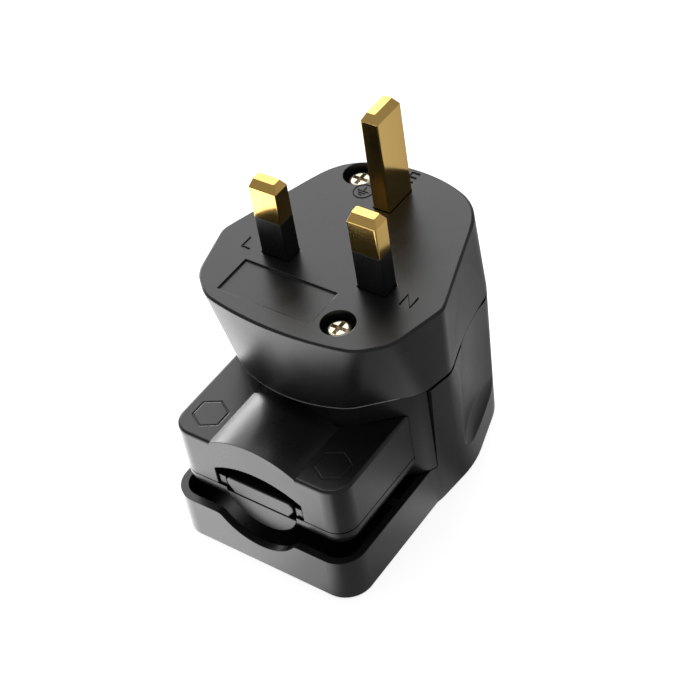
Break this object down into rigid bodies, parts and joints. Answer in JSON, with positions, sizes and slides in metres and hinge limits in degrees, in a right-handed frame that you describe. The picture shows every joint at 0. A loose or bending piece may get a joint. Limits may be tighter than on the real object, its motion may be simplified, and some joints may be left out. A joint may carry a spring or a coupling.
{
  "type": "uk three pin mains plug",
  "caption": "Rewirable mains plug with flat pins, a fuse inside, finger grips and a side cable clamp in a tray.",
  "frame": {"origin": "on the pin face, midway between the live and neutral pins", "axes": "+Z is the way the pins point, +Y runs from the line pins towards the earth pin, -Y is the side where the cable leaves, the neutral pin is on +X"},
  "size_m": [0.051, 0.0666, 0.0742],
  "materials": {
    "housing_plastic": "satin black moulding",
    "sleeve_plastic": "smooth black",
    "pin_brass": "polished",
    "terminal_brass": "plain",
    "screw_steel": "zinc plated",
    "spring_bronze": "plain",
    "fuse_ceramic": "matt",
    "cap_metal": "plated"
  },
  "bodies": {
    "root": {"front_body": "housing_plastic", "back_cover": "housing_plastic", "clamp_upper": "housing_plastic", "clamp_lower": "housing_plastic", "cable_saddle": "housing_plastic", "terminal_plate": "housing_plastic", "live_pin_sleeve": "sleeve_plastic", "neutral_pin_sleeve": "sleeve_plastic", "live_pin": "pin_brass", "neutral_pin": "pin_brass", "earth_pin": "pin_brass", "live_terminal": "terminal_brass", "threaded_insert_front": "terminal_brass", "threaded_insert_rear": "terminal_brass", "housing_screw_front": "screw_steel", "housing_screw_rear": "screw_steel", "plate_screw_front": "screw_steel", "plate_screw_rear": "screw_steel", "live_terminal_screw": "screw_steel", "neutral_terminal_screw": "screw_steel", "earth_terminal_screw": "screw_steel", "clamp_screw_left": "screw_steel", "clamp_screw_right": "screw_steel", "clamp_nut_left": "screw_steel", "clamp_nut_right": "screw_steel", "fuse_clip_front": "spring_bronze", "fuse_clip_rear": "spring_bronze", "fuse_tube": "fuse_ceramic", "fuse_cap_front": "cap_metal", "fuse_cap_rear": "cap_metal"}
  },
  "joints": []
}
